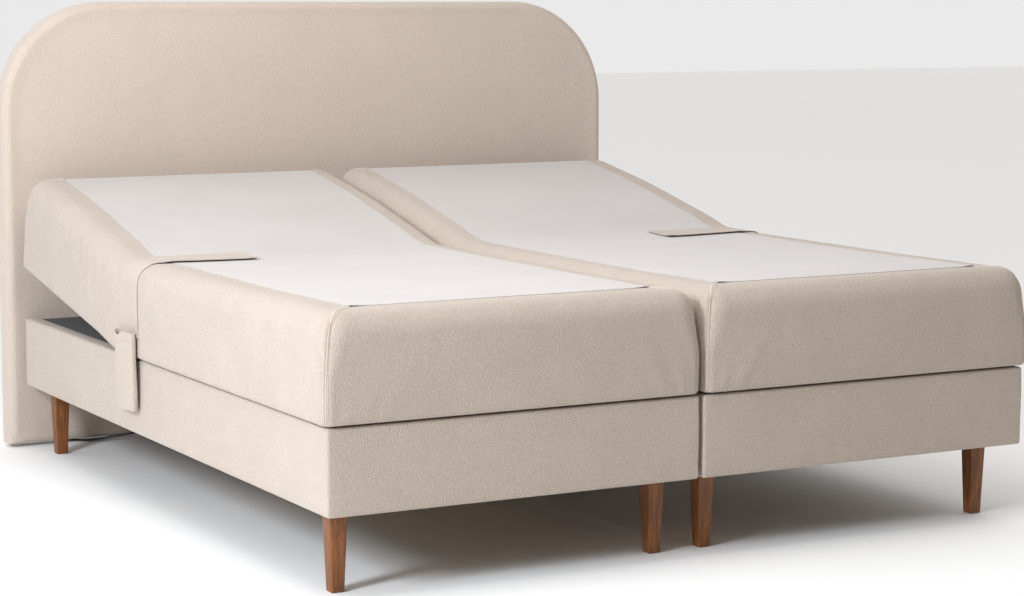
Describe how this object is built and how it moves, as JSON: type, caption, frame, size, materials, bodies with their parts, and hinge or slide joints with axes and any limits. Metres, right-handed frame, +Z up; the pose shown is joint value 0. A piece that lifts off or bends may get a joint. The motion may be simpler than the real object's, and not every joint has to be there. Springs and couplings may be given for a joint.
{
  "type": "adjustable bed base",
  "caption": "Double adjustable bed base: twin motor-driven sprung units on upholstered boxes with tapered legs, remote pockets and a round-cornered headboard.",
  "frame": {"origin": "on the floor, in the middle of the bed's width and of its depth from the foot end to the back of the headboard, cord left out", "axes": "+X to the right seen from the foot end, +Y towards the headboard, +Z up"},
  "size_m": [1.876, 2.2264, 1.219],
  "materials": {
    "upholstery": "matte",
    "white_cloth": "matte",
    "black_cloth": "matte",
    "timber": "matte",
    "plywood": "matte",
    "oak": "satin",
    "painted_steel": "satin",
    "zinc_steel": "satin",
    "grey_plastic": "matte",
    "black_plastic": "matte",
    "nylon": "satin"
  },
  "bodies": {
    "root": {"left_box_frame": "timber", "left_box_cover": "upholstery", "left_deck_cloth": "black_cloth", "left_leg_foot_outer": "oak", "left_leg_foot_inner": "oak", "left_leg_head_outer": "oak", "left_leg_head_inner": "oak", "left_subframe": "painted_steel", "left_back_hinge_pin": "zinc_steel", "left_thigh_hinge_pin": "zinc_steel", "left_drive": "grey_plastic", "left_seat_frame": "plywood", "left_seat_pad": "upholstery", "left_remote_strap": "upholstery", "right_box_frame": "timber", "right_box_cover": "upholstery", "right_deck_cloth": "black_cloth", "right_leg_foot_outer": "oak", "right_leg_foot_inner": "oak", "right_leg_head_outer": "oak", "right_leg_head_inner": "oak", "right_subframe": "painted_steel", "right_back_hinge_pin": "zinc_steel", "right_thigh_hinge_pin": "zinc_steel", "right_drive": "grey_plastic", "right_seat_frame": "plywood", "right_seat_pad": "upholstery", "right_remote_strap": "upholstery", "headboard_upholstery": "upholstery", "headboard_panel": "plywood", "headboard_rail": "painted_steel", "unit_connector": "painted_steel", "strain_relief": "black_plastic", "mains_cord": "black_plastic", "cord_coil": "black_plastic", "mains_plug": "black_plastic"},
    "left_back": {"left_back_frame": "plywood", "left_back_pad": "upholstery"},
    "left_thigh": {"left_thigh_frame": "plywood", "left_thigh_pad": "upholstery", "left_knee_pin": "zinc_steel"},
    "left_foot": {"left_foot_frame": "plywood", "left_foot_pad": "upholstery"},
    "left_back_bail": {"left_back_bail": "painted_steel", "left_back_glide": "nylon"},
    "left_thigh_bail": {"left_thigh_bail": "painted_steel", "left_thigh_glide": "nylon"},
    "left_handset": {"left_handset": "black_plastic"},
    "right_back": {"right_back_frame": "plywood", "right_back_pad": "upholstery"},
    "right_thigh": {"right_thigh_frame": "plywood", "right_thigh_pad": "upholstery", "right_knee_pin": "zinc_steel"},
    "right_foot": {"right_foot_frame": "plywood", "right_foot_pad": "upholstery"},
    "right_back_bail": {"right_back_bail": "painted_steel", "right_back_glide": "nylon"},
    "right_thigh_bail": {"right_thigh_bail": "painted_steel", "right_thigh_glide": "nylon"},
    "right_handset": {"right_handset": "black_plastic"}
  },
  "joints": [
    {"name": "left_back_tilt", "type": "hinge", "parent": "root", "child": "left_back", "pos_m": [-0.4525, 0.1485, 0.38], "axis": [1, 0, 0], "range_deg": [-10, 50], "deforming": ["left_seat_pad", "left_remote_strap"]},
    {"name": "left_thigh_tilt", "type": "hinge", "parent": "root", "child": "left_thigh", "pos_m": [-0.4525, -0.1515, 0.38], "axis": [-1, 0, 0], "range_deg": [0, 35]},
    {"name": "left_knee_bend", "type": "hinge", "parent": "left_thigh", "child": "left_foot", "pos_m": [-0.4525, -0.4715, 0.38], "axis": [1, 0, 0], "range_deg": [0, 54]},
    {"name": "left_back_lift", "type": "hinge", "parent": "root", "child": "left_back_bail", "pos_m": [-0.4525, 0.176, 0.33237], "axis": [1, 0, 0], "range_deg": [-10, 50]},
    {"name": "left_thigh_lift", "type": "hinge", "parent": "root", "child": "left_thigh_bail", "pos_m": [-0.4525, -0.16804, 0.32755], "axis": [-1, 0, 0], "range_deg": [0, 35]},
    {"name": "left_handset_lift", "type": "slide", "parent": "root", "child": "left_handset", "axis": [0, 0, 1], "range_m": [0, 0.18]},
    {"name": "right_back_tilt", "type": "hinge", "parent": "root", "child": "right_back", "pos_m": [0.4525, 0.1485, 0.38], "axis": [1, 0, 0], "range_deg": [-10, 50], "deforming": ["right_seat_pad", "right_remote_strap"]},
    {"name": "right_thigh_tilt", "type": "hinge", "parent": "root", "child": "right_thigh", "pos_m": [0.4525, -0.1515, 0.38], "axis": [-1, 0, 0], "range_deg": [0, 35]},
    {"name": "right_knee_bend", "type": "hinge", "parent": "right_thigh", "child": "right_foot", "pos_m": [0.4525, -0.4715, 0.38], "axis": [1, 0, 0], "range_deg": [0, 54]},
    {"name": "right_back_lift", "type": "hinge", "parent": "root", "child": "right_back_bail", "pos_m": [0.4525, 0.176, 0.33237], "axis": [1, 0, 0], "range_deg": [-10, 50]},
    {"name": "right_thigh_lift", "type": "hinge", "parent": "root", "child": "right_thigh_bail", "pos_m": [0.4525, -0.16804, 0.32755], "axis": [-1, 0, 0], "range_deg": [0, 35]},
    {"name": "right_handset_lift", "type": "slide", "parent": "root", "child": "right_handset", "axis": [0, 0, 1], "range_m": [0, 0.18]}
  ],
  "couplings": [
    {"joint": "left_knee_bend", "follows": "left_thigh_tilt", "ratio": 1.52},
    {"joint": "left_back_lift", "follows": "left_back_tilt", "ratio": 1},
    {"joint": "left_thigh_lift", "follows": "left_thigh_tilt", "ratio": 1},
    {"joint": "right_knee_bend", "follows": "right_thigh_tilt", "ratio": 1.52},
    {"joint": "right_back_lift", "follows": "right_back_tilt", "ratio": 1},
    {"joint": "right_thigh_lift", "follows": "right_thigh_tilt", "ratio": 1}
  ]
}
